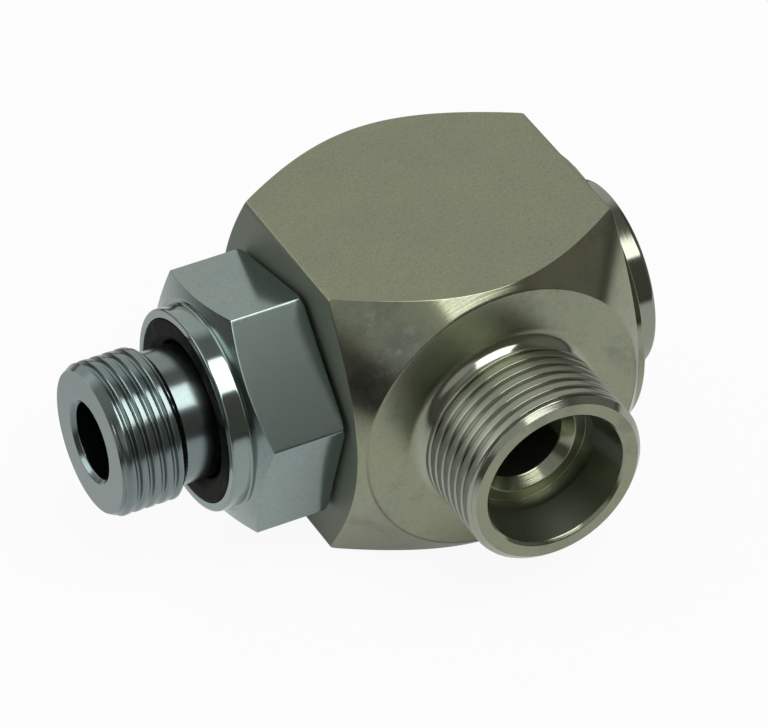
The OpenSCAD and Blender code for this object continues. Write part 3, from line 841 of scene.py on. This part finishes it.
def spindle_plating():
    """Bright zinc: turning rings about the swivel axis, milled grain on the hexagon, a
    darker neck and thread, and a yellower tone on the end ring."""
    f = Finish("bright_plating")
    x, y, z = f.parts(f.place)
    radius = y.hypot(z - AXIS)
    flats = radius.step_mm(HEX_FACE_R + 0.3, HEX_FACE_R + 0.6)
    flats = flats * x.step_mm(-HEX_FRONT - 0.05, -HEX_FRONT + 0.35)
    flats = flats * x.step_mm(-HEX_BACK + 0.15, -HEX_BACK - 0.05)
    neck = radius.step_mm(STUD_R + 0.4, STUD_R + 0.2)
    neck = neck * x.step_mm(-RECESS_AT + 0.25, -RECESS_AT + 0.05)
    neck = neck * x.step_mm(-STUD_END + 0.03, -STUD_END + 0.15, 0.45, 1.0)
    grain = f.noise(6000, 2.0, 0.6)
    speckle = f.noise(2300, 4.0, 0.7)
    cloud = f.noise(110, 4.0, 0.5)
    rings = f.noise(5600, 2.0, 0.6, f.point(x, radius, 0.0))
    milled = f.noise(1.0, 3.0, 0.6, f.point(x * 900.0, y * 5000.0, z * 5000.0))
    colour = f.mix(cloud.step(0.3, 0.7), (0.275, 0.350, 0.335), (0.312, 0.375, 0.352))
    colour = f.mix(grain.step(0.4, 0.7) * 0.3, colour, (0.21, 0.24, 0.225))
    colour = f.mix(speckle.step(0.50, 0.64) * flats * 0.32, colour, (0.21, 0.222, 0.200))
    colour = f.mix(speckle.step(0.40, 0.30) * flats * 0.3, colour, (0.42, 0.46, 0.43))
    colour = f.mix(neck * 0.5, colour, (0.165, 0.205, 0.215))
    colour = f.mix(x.step_mm(12.0, 18.0), colour, (0.305, 0.325, 0.265))
    rough = 0.09 + grain * 0.05 + flats * 0.04 + neck * 0.08
    height = rings * 0.6 * (1.0 - flats) + (grain * 0.1 + milled * 0.12) * flats
    return f.done(Base_Color=colour, Metallic=1.0, Roughness=rough, Normal=f.bump(height, 4.0))


def ground_steel(name, colour, rough):
    """Hardened steel with fine grinding rings about the swivel axis."""
    f = Finish(name)
    x, y, z = f.parts(f.place)
    radius = y.hypot(z - AXIS)
    rings = f.noise(7000, 2.0, 0.6, f.point(x, radius, 0.0))
    cloud = f.noise(300, 3.0)
    darker = tuple(c * 0.75 for c in colour)
    return f.done(
        Base_Color=f.mix(cloud, colour, darker), Metallic=1.0,
        Roughness=rough + rings * 0.1, Normal=f.bump(rings, 3.0),
    )


def seal_rubber():
    """Black moulded rubber with a dull bloom and a little dust."""
    f = Finish("seal_rubber")
    bloom = f.noise(350, 4.0, 0.6)
    grain = f.noise(5000, 2.0)
    colour = f.mix(bloom.step(0.4, 0.7), (0.005, 0.0056, 0.0042), (0.030, 0.034, 0.025))
    return f.done(
        Base_Color=colour, Roughness=0.34 + bloom * 0.3, Specular_IOR_Level=0.03,
        Normal=f.bump(grain, 6.0),
    )


def glide_plastic():
    """Brown filled plastic with fine dark specks."""
    f = Finish("glide_plastic")
    speck = f.noise(4200, 2.0)
    colour = f.mix(speck.step(0.5, 0.65), (0.25, 0.14, 0.07), (0.16, 0.085, 0.045))
    return f.done(Base_Color=colour, Roughness=0.5 + speck * 0.15, Normal=f.bump(speck, 4.0))


FINISHES = {
    "housing_plating": housing_plating(),
    "spindle_plating": spindle_plating(),
    "race_steel": ground_steel("race_steel", (0.42, 0.43, 0.45), 0.25),
    "ball_steel": ground_steel("ball_steel", (0.62, 0.63, 0.65), 0.08),
    "spring_steel": ground_steel("spring_steel", (0.10, 0.105, 0.11), 0.38),
    "seal_rubber": seal_rubber(),
    "glide_plastic": glide_plastic(),
}
NODE_FINISH = {
    "housing": "housing_plating", "spindle": "spindle_plating", "end_ring": "spindle_plating",
    "stud_seal_ring": "seal_rubber", "retaining_clip": "spring_steel", "preload_shim": "race_steel",
    "front_inner_race": "race_steel", "front_outer_race": "race_steel",
    "rear_outer_race": "race_steel", "front_balls": "ball_steel", "rear_balls": "ball_steel",
    "front_glide_ring": "glide_plastic", "rear_glide_ring": "glide_plastic",
    "front_energiser_ring": "seal_rubber", "rear_energiser_ring": "seal_rubber",
    "front_dust_lip": "seal_rubber", "rear_dust_lip": "seal_rubber",
}
for name, finish in NODE_FINISH.items():
    mesh = bpy.data.objects[name].data
    mesh.materials.clear()
    mesh.materials.append(FINISHES[finish])
for piece in (housing, spindle, end_ring, seal_ring):
    piece.data.materials.append(FINISHES[piece["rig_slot"]])


# Floor, light, camera


def make_floor(half=2.5, under=0.0001, table_middle=0.08, plain_share=0.93):
    """White paper just under the object. The camera sees it white with the object's shadow.
    Reflections see it glowing pale, with a painted shadow under the object, and dark past the
    table's edge, which lies nearer on the stud's side."""
    mesh = bpy.data.meshes.new("floor")
    corners = ((-half, -half), (half, -half), (half, half), (-half, half))
    mesh.from_pydata([(x, y, -under) for x, y in corners], [], [(0, 1, 2, 3)])
    floor = bpy.data.objects.new("floor", mesh)
    bpy.context.scene.collection.objects.link(floor)
    f = Finish("paper")
    f.done(Base_Color=(0.86, 0.86, 0.86), Roughness=0.9, Specular_IOR_Level=0.0)
    x, y, z = f.parts(f.place)
    # Painted shadow: what reflections see of the floor is darker under the object
    painted_shadow_under_object = x.hypot(y).step(0.014, 0.028, 0.26, 0.74)
    on_table = (x - table_middle).hypot(y).step(0.10, 0.26, 1.0, 0.12)
    pale = painted_shadow_under_object * on_table
    mirrored = f.rays("Is Glossy Ray")
    mirrored = mirrored.math("MAXIMUM", mirrored, f.rays("Is Transmission Ray"))
    seen = f.rays("Is Camera Ray")
    white = f.node("ShaderNodeEmission", {"Color": seen + mirrored * pale, "Strength": 1.0})
    matt = Number(f, f.surface.outputs[0])
    share = seen * plain_share + mirrored
    both = f.node("ShaderNodeMixShader", {0: share, 1: matt, 2: white})
    f.give(f.tree.nodes["Material Output"].inputs["Surface"], both)
    mesh.materials.append(f.material)


ROOM = (0.117, 0.110, 0.093)
# What stands in the room: direction, cosines where it fades out and where it is full, light
WALLS = (
    ((0.20, 0.90, 0.30), 0.64, 0.87, (0.60, 0.61, 0.60)),
    ((-0.30, 0.20, 0.90), 0.60, 0.95, (0.22, 0.23, 0.23)),
    ((-0.42, -0.76, 0.50), 0.90, 0.97, (0.33, 0.35, 0.36)),
    ((-0.56, 0.68, 0.48), 0.93, 0.98, (0.40, 0.41, 0.42)),
    ((0.90, -0.30, 0.20), 0.80, 0.95, (0.10, 0.10, 0.10)),
    ((-0.82, 0.33, 0.42), 0.93, 0.98, (1.90, 1.95, 2.00)),
)


def make_room():
    """World: a dim room with softly edged pale walls, and plain white for the camera."""
    world = bpy.data.worlds.new("studio")
    bpy.context.scene.world = world
    world.use_nodes = True
    w = Nodes(world.node_tree)
    direction = w.node("ShaderNodeTexCoord", {}, out="Generated")
    light = ROOM
    for towards, fade, full, colour in WALLS:
        values = {0: direction, 1: tuple(Vector(towards).normalized())}
        near = w.node("ShaderNodeVectorMath", values, out="Value", operation="DOT_PRODUCT")
        values = {0: near.step(fade, full), 1: colour, 2: light}
        light = w.node("ShaderNodeVectorMath", values, operation="MULTIPLY_ADD")
    room = w.tree.nodes["Background"]
    w.give(room.inputs["Color"], light)
    plain = w.node("ShaderNodeBackground", {"Color": (1, 1, 1), "Strength": 1.0})
    shaders = {0: w.rays("Is Camera Ray"), 1: Number(w, room.outputs[0]), 2: plain}
    both = w.node("ShaderNodeMixShader", shaders)
    w.give(w.tree.nodes["World Output"].inputs["Surface"], both)


LIT_POINT = (0.0, -0.01, AXIS)


def softbox(name, towards, distance, width, height, lean, radiance, colour):
    """Flat lamp that faces the lit point from a distance in that direction, turned about
    its own line by lean degrees. Its power is radiance * area * pi."""
    lamp = bpy.data.lights.new(name, "AREA")
    lamp.shape = "RECTANGLE"
    lamp.size, lamp.size_y = width, height
    lamp.energy = radiance * width * height * math.pi
    lamp.color = colour
    made = bpy.data.objects.new(name, lamp)
    bpy.context.scene.collection.objects.link(made)
    way = Vector(towards).normalized()
    made.location = Vector(LIT_POINT) + way * distance
    side = Quaternion((0, 0, 1), math.radians(lean))
    made.rotation_euler = (way.to_track_quat("Z", "Y") @ side).to_euler()


make_floor()
make_room()
softbox(
    "window", towards=(0.12, -0.493, 1.0), distance=0.9, width=0.67, height=0.60,
    lean=3.0, radiance=3.4, colour=(1.0, 1.0, 0.98),
)

camera_data = bpy.data.cameras.new("camera")
camera = bpy.data.objects.new("camera", camera_data)
bpy.context.scene.collection.objects.link(camera)
camera_data.lens = 309.7  # in mm, as the sensor's width is
camera_data.sensor_width = 36.0
camera_data.clip_start = 0.05
camera_data.clip_end = 20.0
to_right = (0.88427, -0.46697, 0.0)
to_top = (0.29199, 0.55293, 0.78040)
to_camera = (-0.36443, -0.69009, 0.62529)
camera_at = (-0.2802, -0.5197, 0.4862)
rows = zip(to_right, to_top, to_camera, camera_at)
camera.matrix_world = Matrix((*rows, (0, 0, 0, 1)))
bpy.context.scene.camera = camera
bpy.context.scene.view_settings.view_transform = "Standard"
